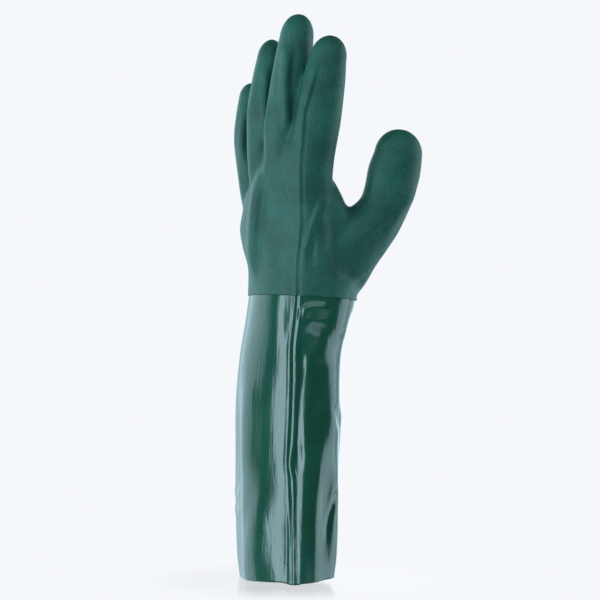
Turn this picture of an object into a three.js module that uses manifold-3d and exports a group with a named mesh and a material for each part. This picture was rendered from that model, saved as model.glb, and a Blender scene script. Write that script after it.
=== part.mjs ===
// A long dipped work glove for the left hand, upright as it is worn: fingers up, cuff mouth down.
// Millimetres. The origin is the centre of the cuff's mouth, where the arm goes in. +Z runs along
// the arm to the fingertips, +X points to the thumb side, and +Y points out of the palm.
// The cuff is one smooth hollow tube, and the hand coat is one hollow shell with five fingers
// that laps over the cuff's top end at the dip line.

import * as THREE from 'three';
import { mergeVertices } from 'three/addons/utils/BufferGeometryUtils.js';
import Module from 'manifold-3d';

const wasm = await Module();
wasm.setup();

// Cuff
const CUFF_LENGTH = 194;      // mouth to dip line, on the thumb side
const CUFF_WIDTH = 92;        // little-finger side to thumb side, at the mouth
const CUFF_DEPTH = 60;        // back to palm side, at the mouth
const CUFF_WALL = 1.6;        // coating and knitted lining together
const MOUTH_TILT = 2.2;       // how far the mouth's edge rises on one side and drops on the other
const MOUTH_TILT_ANGLE = 43;  // degrees from the thumb side to the edge's highest point

// Seam that runs up the thumb side of the cuff as two sewn ribs under the coating
const SEAM_ANGLE = -39;       // degrees round from the thumb side, towards the back of the hand
const SEAM_DRIFT = -10;       // degrees that the seam has turned by the dip line
const SEAM_RIB_SPACING = 5.2;
const SEAM_RIB_HEIGHT = 1.1;
const SEAM_RIB_FOOT = 2.4;    // from a rib's crest out to the plain wall

// The same seam on the hand coat: one low ridge up the hand's edge and along the index finger.
const RIDGE_FACING = 55;      // degrees from the back towards the thumb side that the ridge faces
const RIDGE_RADIUS = 1.8;
const RIDGE_HEIGHT = 0.7;
const RIDGE_STRAIGHT = 0.04;  // rise under which the ridge runs straight down

// Rows from the dip line up. rise: height over the dip line as a share of the index fingertip's.
// aside: distance from the index finger's middle line, seen from RIDGE_FACING, as a share of the
// finger's width. Under the finger's foot that line runs straight down.
const ridgePoints = [
  { rise: -0.03, aside: -0.27 },
  { rise: 0.06, aside: -0.26 },
  { rise: 0.20, aside: -0.25 },
  { rise: 0.33, aside: -0.24 },
  { rise: 0.46, aside: -0.24 },
  { rise: 0.59, aside: -0.32 },
  { rise: 0.70, aside: -0.39 },
  { rise: 0.79, aside: -0.41 },
  { rise: 0.88, aside: -0.38 },
  { rise: 0.95, aside: -0.31 },
];

// Wrist, at the dip line, measured outside the hand coat
const WRIST_WIDTH = 96;
const WRIST_DEPTH = 66;
const WRIST_ACROSS = 6;       // the wrist's centre, towards the thumb side of the mouth's centre
const WRIST_FORWARD = 8.5;    // the wrist's centre, towards the palm side of the mouth's centre
const DIP_LINE_RISE = 5;      // how much higher the dip line is at the back than at the palm

// Hand coat
const HAND_WALL = 2.3;        // coating and knitted lining together
const COAT_STEP = 0.9;        // how far the coat's edge stands out over the cuff at the dip line
const LAP_WALL = 1;           // the coat alone, where it laps over the cuff
const LAP_LENGTH = 9;         // how far the cuff tucks up inside the coat
const LAP_GAP = 0.3;
const PALM_LENGTH = 125;      // dip line to the foot of the gap beside the middle finger
const PALM_WIDTH = 92;
const PALM_DEPTH = 38;
const PALM_ARCH = 7;          // how far the palm's two edges curl forward of its middle
const KNUCKLE_DROP = 53;      // how much lower the palm's top is at the little finger's side
const KNUCKLE_LEVEL = 0.52;   // share of the palm's half width beyond which its top stays level
const KNUCKLE_BACK = 12;      // the knuckles' middle lies this far behind the mouth's centre

// Faceting
const CUFF_SIDES = 40;
const PALM_SIDES = 36;
const FINGER_SIDES = 16;
const CUFF_RINGS = 17;
const FINGER_RINGS = 9;
const DOME_RINGS = 4;
const RIDGE_RINGS = 28;
const RIDGE_SIDES = 8;

// Rows from the mouth to the dip line. along: share of the cuff's length. wrist: 0 is the mouth's
// section and 1 the wrist's. swell: share of the mouth's width that the section gains all round.
const cuffSections = [
  { along: 0.00, wrist: 0.00, swell: -0.020 },
  { along: 0.08, wrist: 0.00, swell: 0.000 },
  { along: 0.27, wrist: 0.00, swell: 0.012 },
  { along: 0.45, wrist: 0.02, swell: 0.014 },
  { along: 0.63, wrist: 0.10, swell: 0.018 },
  { along: 0.80, wrist: 0.30, swell: 0.004 },
  { along: 0.91, wrist: 0.70, swell: 0.000 },
  { along: 1.00, wrist: 1.00, swell: 0.000 },
];

// Soft folds down the cuff. angle: degrees round from the thumb side, towards the palm. lean:
// degrees that the fold turns over the cuff's length. from, to: shares of the length. depth: share
// of the mouth's depth, outwards where positive. spread: half its width in degrees.
const cuffFolds = [
  { angle: -5, lean: -12, from: 0.05, to: 0.86, depth: -0.030, spread: 17 },
  { angle: 20, lean: -14, from: -0.10, to: 0.80, depth: 0.030, spread: 16 },
  { angle: 46, lean: 6, from: -0.28, to: 0.50, depth: -0.055, spread: 24 },
  { angle: 42, lean: 0, from: 0.58, to: 0.97, depth: -0.055, spread: 24 },
  { angle: 78, lean: -10, from: 0.10, to: 0.95, depth: 0.026, spread: 18 },
  { angle: 128, lean: 10, from: -0.10, to: 0.80, depth: -0.030, spread: 20 },
  { angle: 176, lean: -8, from: 0.00, to: 0.90, depth: 0.020, spread: 24 },
  { angle: 236, lean: 8, from: -0.20, to: 0.70, depth: -0.026, spread: 22 },
  { angle: 290, lean: 6, from: 0.20, to: 1.00, depth: 0.014, spread: 20 },
];

// Rows from the dip line to the knuckles. along: share of the palm's length. across: share of the
// palm's width. back: share of KNUCKLE_BACK. width and depth: shares of the palm's. arch: share of
// PALM_ARCH. drop: share of KNUCKLE_DROP.
const palmSections = [
  { along: 0.09, across: 0.070, back: -0.72, width: 1.045, depth: 1.730, arch: 0.0, drop: 0.00 },
  { along: 0.20, across: 0.050, back: -0.40, width: 1.010, depth: 1.480, arch: 0.2, drop: 0.02 },
  { along: 0.32, across: 0.015, back: 0.05, width: 1.030, depth: 1.240, arch: 0.4, drop: 0.06 },
  { along: 0.46, across: 0.000, back: 0.45, width: 1.045, depth: 1.040, arch: 0.6, drop: 0.14 },
  { along: 0.62, across: 0.005, back: 0.70, width: 0.990, depth: 0.860, arch: 0.9, drop: 0.33 },
  { along: 0.78, across: 0.000, back: 0.85, width: 0.970, depth: 0.670, arch: 1.0, drop: 0.62 },
  { along: 0.91, across: 0.000, back: 0.95, width: 0.930, depth: 0.500, arch: 1.0, drop: 0.90 },
  { along: 1.00, across: 0.000, back: 1.00, width: 0.850, depth: 0.300, arch: 1.0, drop: 1.00 },
];

// Fingers. across and forward: the foot's place, as shares of the palm's width and depth. rise: the
// foot's height as a share of the palm's length. length: foot to tip. width and depth: the broad
// and narrow way through it. turn: degrees that the broad way is turned towards the palm. spread
// and lean: degrees away from upright, to the thumb side and to the palm. bends: more degrees of
// lean at the middle and the end joint. taper: share of its thickness lost by the tip.
const FINGER_LENGTH = 100;    // the fingers' sizes are shares of these two
const FINGER_WIDTH = 25;
const fingers = [
  {
    name: 'index', across: 0.392, forward: -0.140, rise: 0.691,
    length: 0.995 * FINGER_LENGTH, width: 1.28 * FINGER_WIDTH, depth: 0.92 * FINGER_WIDTH,
    turn: 50, spread: 4, lean: 6.8, bends: [1, 3], taper: 0.14,
  },
  {
    name: 'middle', across: 0.130, forward: -0.330, rise: 0.786,
    length: 1.047 * FINGER_LENGTH, width: 1.12 * FINGER_WIDTH, depth: 1.00 * FINGER_WIDTH,
    turn: 15, spread: 1.2, lean: 5.5, bends: [4, -1], taper: 0.00,
  },
  {
    name: 'ring', across: -0.130, forward: -0.330, rise: 0.769,
    length: 0.915 * FINGER_LENGTH, width: 0.94 * FINGER_WIDTH, depth: 0.86 * FINGER_WIDTH,
    turn: 0, spread: -1.6, lean: 1, bends: [10, -1], taper: 0.04,
  },
  {
    name: 'little', across: -0.382, forward: -0.170, rise: 0.691,
    length: 0.720 * FINGER_LENGTH, width: 0.84 * FINGER_WIDTH, depth: 0.76 * FINGER_WIDTH,
    turn: 0, spread: -4, lean: -4, bends: [12, 0], taper: 0.00,
  },
];

// How a finger's thickness runs from its root in the palm to the start of its round tip. along:
// share of the length from foot to tip, and below 0 inside the palm. girth: share of its width.
const fingerGirths = [
  { along: -0.42, girth: 0.72 },
  { along: -0.16, girth: 0.92 },
  { along: 0.00, girth: 0.97 },
  { along: 0.22, girth: 0.99 },
  { along: 0.45, girth: 1.02 },
  { along: 0.70, girth: 0.99 },
  { along: 0.84, girth: 0.89 },
];
const MIDDLE_JOINT = 0.42;    // joints' places as shares of a finger's length
const END_JOINT = 0.70;
const ROOT_SINK = 0.20;       // how far a root lies in front of its finger, as a share of its depth

// Thumb, from inside the palm to its tip. across, forward and along: shares of THUMB_REACH, of
// THUMB_FORWARD and of THUMB_LENGTH, from the dip line's centre. broad and narrow: shares of its
// width and depth.
const THUMB_REACH = 61;       // the tip's distance from the glove's middle plane, to the thumb side
const THUMB_FORWARD = 54.5;   // the tip's distance in front of the mouth's centre
const THUMB_LENGTH = 120.5;   // height of the tip over the dip line
const THUMB_WIDTH = 36;
const THUMB_DEPTH = 26;
const THUMB_TURN = 55;        // degrees that the broad way is turned towards the palm
const thumbSections = [
  { across: 0.33, forward: 0.22, along: 0.12, broad: 1.56, narrow: 1.62 },
  { across: 0.52, forward: 0.34, along: 0.22, broad: 1.47, narrow: 1.58 },
  { across: 0.65, forward: 0.45, along: 0.31, broad: 1.32, narrow: 1.46 },
  { across: 0.76, forward: 0.61, along: 0.40, broad: 1.15, narrow: 1.30 },
  { across: 0.82, forward: 0.74, along: 0.47, broad: 1.03, narrow: 1.16 },
  { across: 0.86, forward: 0.83, along: 0.54, broad: 0.96, narrow: 1.08 },
  { across: 0.905, forward: 0.89, along: 0.63, broad: 0.98, narrow: 1.00 },
  { across: 0.945, forward: 0.94, along: 0.75, broad: 1.02, narrow: 1.00 },
  { across: 0.975, forward: 0.98, along: 0.85, broad: 0.94, narrow: 0.93 },
];

// Web of the thumb: upright sections from inside the palm to inside the thumb. across and forward:
// shares of the same thumb sizes. low and high: heights over the dip line as shares of
// THUMB_LENGTH. thick: share of WEB_THICKNESS.
const WEB_THICKNESS = 22;
const WEB_TAPER = 0.2;        // how much slimmer the web is towards its top than towards its foot
const webSections = [
  { across: 0.50, forward: -0.08, low: 0.36, high: 0.76, thick: 1.10 },
  { across: 0.58, forward: 0.04, low: 0.34, high: 0.76, thick: 1.10 },
  { across: 0.64, forward: 0.18, low: 0.33, high: 0.72, thick: 1.06 },
  { across: 0.672, forward: 0.29, low: 0.33, high: 0.64, thick: 1.03 },
  { across: 0.69, forward: 0.38, low: 0.34, high: 0.560, thick: 1.00 },
  { across: 0.71, forward: 0.46, low: 0.35, high: 0.548, thick: 0.96 },
  { across: 0.735, forward: 0.56, low: 0.38, high: 0.565, thick: 0.90 },
  { across: 0.77, forward: 0.67, low: 0.42, high: 0.60, thick: 0.80 },
];

const HALF = 0.5;
const CAVITY_OVERRUN = 6;     // how far a cutting body runs past the wall that it opens
const radians = THREE.MathUtils.degToRad;
const up = new THREE.Vector3(0, 0, 1);

// The value of one column of a table at a place along it, on a smooth curve through the rows.
function column(rows, name, place) {
  const last = rows.length - 1;
  const found = rows.findIndex((row) => row.along >= place);
  const next = found < 0 ? last : Math.max(found, 1);
  const [before, from, to, after] = [next - 2, next - 1, next, next + 1]
    .map((i) => rows[THREE.MathUtils.clamp(i, 0, last)]);
  const share = THREE.MathUtils.clamp((place - from.along) / (to.along - from.along), 0, 1);
  const slope = (a, b) => (b === a ? 0 : (b[name] - a[name]) / (b.along - a.along));
  const width = to.along - from.along;
  const [start, end] = [slope(before, to) * width, slope(from, after) * width];
  const [square, cube] = [share ** 2, share ** 3];
  return (2 * cube - 3 * square + 1) * from[name] + (cube - 2 * square + share) * start
    + (3 * square - 2 * cube) * to[name] + (cube - square) * end;
}

// A closed surface over rings of equally many points. A closed band joins its last ring to its
// first, and an open one gets a flat fan over each end.
function skin(rings, closedBand) {
  const sides = rings[0].length;
  const points = rings.flat();
  const faces = [];
  const bands = closedBand ? rings.length : rings.length - 1;
  for (let ring = 0; ring < bands; ring += 1) {
    const [low, high] = [ring * sides, ((ring + 1) % rings.length) * sides];
    for (let side = 0; side < sides; side += 1) {
      const next = (side + 1) % sides;
      faces.push(low + side, low + next, high + next, low + side, high + next, high + side);
    }
  }
  if (!closedBand) {
    [0, rings.length - 1].forEach((ring) => {
      const middle = new THREE.Vector3();
      rings[ring].forEach((point) => middle.addScaledVector(point, 1 / sides));
      const hub = points.push(middle) - 1;
      for (let side = 0; side < sides; side += 1) {
        const edge = [ring * sides + side, ring * sides + ((side + 1) % sides)];
        faces.push(hub, ...(ring === 0 ? edge.reverse() : edge));
      }
    });
  }
  const geometry = new THREE.BufferGeometry().setFromPoints(points);
  geometry.setIndex(faces);
  return geometry;
}

// A three.js geometry as a solid that can be joined and cut.
function solid(geometry) {
  const merged = mergeVertices(geometry);
  return new wasm.Manifold(new wasm.Mesh({
    numProp: 3,
    vertProperties: merged.getAttribute('position').array,
    triVerts: new Uint32Array(merged.getIndex().array),
  }));
}

// A joined or cut solid as a three.js geometry with flat faces.
function geometryOf(body) {
  const { vertProperties, triVerts } = body.getMesh();
  const geometry = new THREE.BufferGeometry();
  geometry.setAttribute('position', new THREE.Float32BufferAttribute(vertProperties, 3));
  geometry.setIndex(new THREE.Uint32BufferAttribute(triVerts, 1));
  const flat = geometry.toNonIndexed();
  flat.computeVertexNormals();
  return flat;
}

// Moves each point of a level ring inwards along the ring's own normal.
function insetRing(ring, inset) {
  return ring.map((point, i) => {
    const before = ring[(i + ring.length - 1) % ring.length];
    const after = ring[(i + 1) % ring.length];
    const along = after.clone().sub(before).setZ(0).normalize();
    return new THREE.Vector3(point.x - along.y * inset, point.y + along.x * inset, point.z);
  });
}

// How far the dip line's tilt lifts a point at the dip line.
const dipLift = (y) => DIP_LINE_RISE * (WRIST_FORWARD + WRIST_DEPTH * HALF - y) / WRIST_DEPTH;

// How far the mouth's tilt lifts a point of the mouth's edge.
const mouthLift = (angle) => MOUTH_TILT * Math.cos(angle - radians(MOUTH_TILT_ANGLE));

// Height of a seam rib at a distance round the wall from the seam's middle.
function ribHeight(distance) {
  const fromCrest = Math.abs(Math.abs(distance) - SEAM_RIB_SPACING * HALF) / SEAM_RIB_FOOT;
  return fromCrest < 1 ? SEAM_RIB_HEIGHT * (HALF + HALF * Math.cos(Math.PI * fromCrest)) : 0;
}

// How far the folds push the cuff's wall outwards at an angle and a share of its length.
function foldDepth(angle, along) {
  return cuffFolds.reduce((sum, fold) => {
    const middle = fold.angle + fold.lean * along;
    const away = Math.abs(THREE.MathUtils.euclideanModulo(angle - middle + 180, 360) - 180);
    const across = Math.min(away / fold.spread, 1);
    const run = THREE.MathUtils.clamp((along - fold.from) / (fold.to - fold.from), 0, 1);
    return sum + fold.depth * CUFF_DEPTH * (HALF + HALF * Math.cos(Math.PI * across))
      * Math.sin(Math.PI * run);
  }, 0);
}

// Angles round the cuff, from the seam: close together over the ribs and even elsewhere.
function cuffAngles() {
  const radius = (CUFF_WIDTH + CUFF_DEPTH) * HALF * HALF;
  const crest = SEAM_RIB_SPACING * HALF;
  const nearSeam = [0, crest * HALF, crest, crest + SEAM_RIB_FOOT * HALF, crest + SEAM_RIB_FOOT]
    .map((distance) => THREE.MathUtils.radToDeg(distance / radius));
  const edge = nearSeam.at(-1);
  const rest = Array.from({ length: CUFF_SIDES - 1 },
    (_, i) => edge + (360 - 2 * edge) * (i + 1) / CUFF_SIDES);
  return [...nearSeam, ...rest, ...nearSeam.slice(1).reverse().map((angle) => 360 - angle)];
}

// One ring of the cuff's outside, at a share of its length, with the ribs and folds on it.
function cuffRing(along) {
  const wrist = column(cuffSections, 'wrist', along);
  const swell = column(cuffSections, 'swell', along) * CUFF_WIDTH;
  const mix = THREE.MathUtils.lerp;
  const halfWidth = mix(CUFF_WIDTH, WRIST_WIDTH - 2 * COAT_STEP, wrist) * HALF + swell;
  const halfDepth = mix(CUFF_DEPTH, WRIST_DEPTH - 2 * COAT_STEP, wrist) * HALF + swell;
  const seam = SEAM_ANGLE + SEAM_DRIFT * along;
  const radius = (halfWidth + halfDepth) * HALF;
  return cuffAngles().map((fromSeam) => {
    const angle = radians(seam + fromSeam);
    const distance = radians(Math.min(fromSeam, 360 - fromSeam)) * radius;
    const out = foldDepth(seam + fromSeam, along) + ribHeight(distance);
    const y = WRIST_FORWARD * wrist + (halfDepth + out) * Math.sin(angle);
    return new THREE.Vector3(
      WRIST_ACROSS * wrist + (halfWidth + out) * Math.cos(angle),
      y,
      along * (CUFF_LENGTH - LAP_GAP + dipLift(y) * wrist) + (1 - along) * mouthLift(angle),
    );
  });
}

// One plain ring of the cuff's tongue, which lies inside the hand coat above the dip line.
function tongueRing(height, inset) {
  const seam = SEAM_ANGLE + SEAM_DRIFT;
  return cuffAngles().map((fromSeam) => {
    const angle = radians(seam + fromSeam);
    const y = WRIST_FORWARD + (WRIST_DEPTH * HALF - inset) * Math.sin(angle);
    return new THREE.Vector3(
      WRIST_ACROSS + (WRIST_WIDTH * HALF - inset) * Math.cos(angle),
      y,
      CUFF_LENGTH - LAP_GAP + dipLift(y) + height,
    );
  });
}

// The cuff: its outside up to the dip line, then a plain tongue inside the hand coat, then down
// the inside to the mouth.
function cuffGeometry() {
  const outside = Array.from({ length: CUFF_RINGS }, (_, i) => cuffRing(i / (CUFF_RINGS - 1)));
  const inside = outside.slice(0, -1).map((ring) => insetRing(ring, CUFF_WALL)).reverse();
  const tuck = LAP_WALL + LAP_GAP;
  const tongue = [tongueRing(0, tuck), tongueRing(LAP_LENGTH, tuck)];
  const tongueInside = [tongueRing(LAP_LENGTH, tuck + CUFF_WALL), tongueRing(0, tuck + CUFF_WALL)];
  return skin([...outside, ...tongue, ...tongueInside, ...inside], true);
}

// One level ring of the palm, arched across its width, with its knuckle line dropping to one side.
function palmRing(section, inset) {
  const { x, y, z, halfWidth, halfDepth, arch, drop, tilt } = section;
  return Array.from({ length: PALM_SIDES }, (_, i) => {
    const angle = 2 * Math.PI * i / PALM_SIDES;
    const across = Math.cos(angle);
    const px = x + (halfWidth - inset) * across;
    const py = y + arch * across ** 2 + (halfDepth - inset) * Math.sin(angle);
    const fall = drop * Math.max(0, KNUCKLE_LEVEL - across) / (1 + KNUCKLE_LEVEL);
    return new THREE.Vector3(px, py, z - fall + dipLift(py) * tilt);
  });
}

// The palm's body, closed at both ends. An inset body is the hollow inside it, and runs out
// through the wrist.
function palmBody(inset) {
  const wrist = {
    x: WRIST_ACROSS, y: WRIST_FORWARD, z: CUFF_LENGTH, halfWidth: WRIST_WIDTH * HALF,
    halfDepth: WRIST_DEPTH * HALF, arch: 0, drop: 0, tilt: 1,
  };
  const rows = palmSections.map((row) => ({
    x: row.across * PALM_WIDTH,
    y: -row.back * KNUCKLE_BACK,
    z: CUFF_LENGTH + row.along * PALM_LENGTH - inset * row.drop,
    halfWidth: row.width * PALM_WIDTH * HALF,
    halfDepth: row.depth * PALM_DEPTH * HALF,
    arch: row.arch * PALM_ARCH,
    drop: row.drop * KNUCKLE_DROP,
    tilt: 0,
  }));
  const start = inset > 0 ? [{ ...wrist, z: CUFF_LENGTH - CAVITY_OVERRUN }, wrist] : [wrist];
  return solid(skin([...start, ...rows].map((row) => palmRing(row, inset)), false));
}

// The room inside the coat for the cuff's tongue.
function lapRecess() {
  const wrist = {
    x: WRIST_ACROSS, y: WRIST_FORWARD, halfWidth: WRIST_WIDTH * HALF,
    halfDepth: WRIST_DEPTH * HALF, arch: 0, drop: 0, tilt: 1,
  };
  const heights = [CUFF_LENGTH - CAVITY_OVERRUN, CUFF_LENGTH + LAP_LENGTH + LAP_GAP];
  return solid(skin(heights.map((z) => palmRing({ ...wrist, z }, LAP_WALL)), false));
}

// One ring of an oval tube, square to its centre line. broad and narrow are half widths.
function tubeRing(centre, tangent, turn, broad, narrow, sides) {
  const aside = new THREE.Vector3(Math.cos(radians(turn)), Math.sin(radians(turn)), 0);
  const across = aside.addScaledVector(tangent, -aside.dot(tangent)).normalize();
  const forward = new THREE.Vector3().crossVectors(tangent, across);
  return Array.from({ length: sides }, (_, i) => {
    const angle = 2 * Math.PI * i / sides;
    return centre.clone()
      .addScaledVector(across, broad * Math.cos(angle))
      .addScaledVector(forward, narrow * Math.sin(angle));
  });
}

// Rings of a round end: the tube's last section shrinks to a small flat on an oval dome.
function domeRings(centre, tangent, turn, broad, narrow, height, sides) {
  return Array.from({ length: DOME_RINGS }, (_, i) => {
    const angle = Math.PI * HALF * (i + 1) / (DOME_RINGS + HALF);
    const shrink = Math.cos(angle);
    const place = centre.clone().addScaledVector(tangent, height * Math.sin(angle));
    return tubeRing(place, tangent, turn, broad * shrink, narrow * shrink, sides);
  });
}

// Where a finger's centre line leaves the palm.
function footOf(finger) {
  return new THREE.Vector3(
    finger.across * PALM_WIDTH,
    finger.forward * PALM_DEPTH,
    CUFF_LENGTH + finger.rise * PALM_LENGTH,
  );
}

// The point and the direction of a finger's centre line at a share of its length from its foot.
function fingerPlace(finger, along) {
  const foot = footOf(finger);
  const bent = finger.lean + finger.bends[0];
  const leans = [finger.lean, bent, bent + finger.bends[1]];
  const stretches = [MIDDLE_JOINT, END_JOINT - MIDDLE_JOINT, 1 - END_JOINT];
  const points = [foot];
  leans.forEach((lean, i) => {
    const step = new THREE.Vector3(
      Math.tan(radians(finger.spread)), Math.tan(radians(lean)), 1).normalize();
    points.push(points.at(-1).clone().addScaledVector(step, stretches[i] * finger.length));
  });
  const rootDrop = -fingerGirths[0].along * finger.length;
  const root = foot.clone().addScaledVector(up, -rootDrop);
  root.y += ROOT_SINK * finger.depth;
  const curve = new THREE.CatmullRomCurve3([root, ...points]);
  const share = (along * finger.length + rootDrop) / (rootDrop + finger.length);
  return { point: curve.getPointAt(share), tangent: curve.getTangentAt(share) };
}

// Half a finger's thickness at a place along it, as a share of its width.
function girthOf(finger, along) {
  return column(fingerGirths, 'girth', along) * (1 - finger.taper * Math.max(along, 0) ** 2) * HALF;
}

// One finger, closed at both ends. An inset finger is the hollow inside it.
function fingerBody(finger, inset) {
  const first = fingerGirths[0].along;
  const domeStart = fingerGirths.at(-1).along;
  const sizes = (along) => {
    const girth = girthOf(finger, along);
    return [finger.width * girth - inset, finger.depth * girth - inset];
  };
  const rings = Array.from({ length: FINGER_RINGS }, (_, i) => {
    const along = first + (domeStart - first) * i / (FINGER_RINGS - 1);
    const { point, tangent } = fingerPlace(finger, along);
    return tubeRing(point, tangent, finger.turn, ...sizes(along), FINGER_SIDES);
  });
  const { point } = fingerPlace(finger, domeStart);
  const { tangent } = fingerPlace(finger, 1);
  const dome = domeRings(point, tangent, finger.turn, ...sizes(domeStart),
    (1 - domeStart) * finger.length - inset, FINGER_SIDES);
  return solid(skin([...rings, ...dome], false));
}

// The thumb, closed at both ends, on a smooth line through its table's rows.
function thumbBody(inset) {
  const placed = (row) => new THREE.Vector3(
    row.across * THUMB_REACH, row.forward * THUMB_FORWARD, CUFF_LENGTH + row.along * THUMB_LENGTH);
  const tip = placed({ across: 1, forward: 1, along: 1 });
  const curve = new THREE.CatmullRomCurve3([...thumbSections.map(placed), tip]);
  const last = thumbSections.length;
  const rings = thumbSections.map((row, i) => tubeRing(
    curve.getPoint(i / last), curve.getTangent(i / last), THUMB_TURN,
    row.broad * THUMB_WIDTH * HALF - inset, row.narrow * THUMB_DEPTH * HALF - inset, FINGER_SIDES));
  const end = thumbSections.at(-1);
  const dome = domeRings(placed(end), tip.clone().sub(placed(end)).normalize(), THUMB_TURN,
    end.broad * THUMB_WIDTH * HALF - inset, end.narrow * THUMB_DEPTH * HALF - inset,
    tip.distanceTo(placed(end)) - inset, FINGER_SIDES);
  return solid(skin([...rings, ...dome], false));
}

// The web: upright sections, slimmer towards the top, from inside the palm to inside the thumb.
function webBody(inset) {
  const placed = (row) => new THREE.Vector3(row.across * THUMB_REACH, row.forward * THUMB_FORWARD, 0);
  const out = placed(webSections.at(-1)).sub(placed(webSections[0])).normalize();
  const aside = new THREE.Vector3().crossVectors(up, out);
  const rings = webSections.map((row) => {
    const middle = placed(row).setZ(CUFF_LENGTH + (row.low + row.high) * HALF * THUMB_LENGTH);
    const halfHeight = (row.high - row.low) * HALF * THUMB_LENGTH - inset;
    const halfThick = row.thick * WEB_THICKNESS * HALF - inset;
    return Array.from({ length: FINGER_SIDES }, (_, side) => {
      const angle = 2 * Math.PI * side / FINGER_SIDES;
      return middle.clone()
        .addScaledVector(aside, halfThick * Math.cos(angle) * (1 - WEB_TAPER * Math.sin(angle)))
        .addScaledVector(up, halfHeight * Math.sin(angle));
    });
  });
  return solid(skin(rings, false));
}

// Palm, thumb, web and fingers in one body, each made smaller all round by the inset.
function handBody(inset) {
  const parts = [thumbBody(inset), webBody(inset), ...fingers.map((row) => fingerBody(row, inset))];
  return parts.reduce((whole, part) => whole.add(part), palmBody(inset));
}

// The seam's ridge: a thin tube, mostly sunk in the coat that it follows.
function ridgeBody(coat) {
  const surface = new THREE.Mesh(geometryOf(coat));
  const facing = new THREE.Vector3(0, -1, 0).applyAxisAngle(up, radians(RIDGE_FACING));
  const aside = new THREE.Vector3(1, 0, 0).applyAxisAngle(up, radians(RIDGE_FACING));
  const [index] = fingers;
  const foot = footOf(index);
  const height = foot.z - CUFF_LENGTH + index.length;
  const points = ridgePoints.map((row) => {
    const met = Math.max(row.rise, RIDGE_STRAIGHT);
    const z = CUFF_LENGTH + met * height;
    const middle = z > foot.z ? fingerPlace(index, (z - foot.z) / index.length).point : foot;
    const start = middle.clone().setZ(z).addScaledVector(aside, row.aside * index.width)
      .addScaledVector(facing, height);
    const [hit] = new THREE.Raycaster(start, facing.clone().negate()).intersectObject(surface);
    return hit.point.addScaledVector(facing, RIDGE_HEIGHT - RIDGE_RADIUS)
      .addScaledVector(up, (row.rise - met) * height);
  });
  const curve = new THREE.CatmullRomCurve3(points);
  const rings = Array.from({ length: RIDGE_RINGS }, (_, i) => {
    const share = i / (RIDGE_RINGS - 1);
    return tubeRing(curve.getPoint(share), curve.getTangent(share), RIDGE_FACING,
      RIDGE_RADIUS, RIDGE_RADIUS, RIDGE_SIDES);
  });
  return solid(skin(rings, false));
}

// Everything below the dip line, all round the wrist.
function dipCutter() {
  const size = 2 * (WRIST_WIDTH + WRIST_DEPTH);
  const box = new THREE.BoxGeometry(size, size, size);
  ['normal', 'uv'].forEach((name) => box.deleteAttribute(name));
  return solid(box.translate(0, 0, -size * HALF)
    .rotateX(-Math.atan(DIP_LINE_RISE / WRIST_DEPTH))
    .translate(0, 0, CUFF_LENGTH + dipLift(0)));
}

// The hand coat, cut off along the dip line.
function coatGeometry() {
  const plain = handBody(0);
  const whole = plain.add(ridgeBody(plain));
  return geometryOf(whole.subtract(handBody(HAND_WALL)).subtract(lapRecess()).subtract(dipCutter()));
}

function namedMesh(name, geometry, color, roughness) {
  const mesh = new THREE.Mesh(
    geometry, new THREE.MeshStandardMaterial({ color, roughness, metalness: 0 }));
  mesh.name = name;
  return mesh;
}

const glove = new THREE.Group();
glove.add(namedMesh('gauntlet_cuff', cuffGeometry(), 0x14523c, 0.18));
glove.add(namedMesh('hand_coat', coatGeometry(), 0x2c6258, 0.6));

export default glove;
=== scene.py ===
"""A long dipped work glove for the left hand, upright as it is worn, dressed round its fixed frame.

Sizes are millimetres here and become metres when a mesh is made. +Z runs along the arm to the
fingertips, +X points to the thumb side and +Y points out of the palm.
"""

from __future__ import annotations

import logging
import math
from dataclasses import dataclass
from enum import Enum
from typing import Any, Sequence

import bmesh
import bpy
import numpy as np
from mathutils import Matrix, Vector

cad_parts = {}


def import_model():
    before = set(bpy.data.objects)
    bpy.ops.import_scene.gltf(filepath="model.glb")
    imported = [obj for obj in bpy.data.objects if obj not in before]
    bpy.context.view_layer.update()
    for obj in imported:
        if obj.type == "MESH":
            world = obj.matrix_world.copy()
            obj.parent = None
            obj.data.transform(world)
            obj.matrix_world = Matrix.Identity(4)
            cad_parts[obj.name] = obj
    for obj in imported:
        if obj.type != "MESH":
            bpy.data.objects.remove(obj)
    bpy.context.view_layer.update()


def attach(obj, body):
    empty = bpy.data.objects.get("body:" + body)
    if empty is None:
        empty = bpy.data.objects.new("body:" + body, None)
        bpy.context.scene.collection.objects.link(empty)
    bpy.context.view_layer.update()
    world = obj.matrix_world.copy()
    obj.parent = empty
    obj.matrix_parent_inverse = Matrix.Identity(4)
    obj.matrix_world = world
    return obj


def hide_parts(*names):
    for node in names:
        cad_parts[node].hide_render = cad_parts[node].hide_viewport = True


Array = np.ndarray
Number = float | int
Colour = tuple[float, float, float]
MM = 0.001
HALF = 0.5
HALF_TURN = 180
UP = np.array([0.0, 0.0, 1.0])
LEVEL = 1 - UP
BODY = "root"
OUTSIDE, INSIDE = 0, 1
DOME_STEPS = 12
log = logging.getLogger("glove")


class Facing(Enum):
    """Sides that a fold is drawn from: degrees round from the back of the hand to the thumb side."""

    LITTLE_BACK = -45.0
    THUMB_BACK = 55.0

    def axes(self) -> tuple[Array, Array]:
        """Works out the ways of this view.

        Returns:
            The unit directions to its right, and out of the glove towards the viewer.
        """
        turn = math.radians(self.value)
        right = np.array([math.cos(turn), math.sin(turn), 0.0])
        towards = np.array([math.sin(turn), -math.cos(turn), 0.0])
        return right, towards


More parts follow.
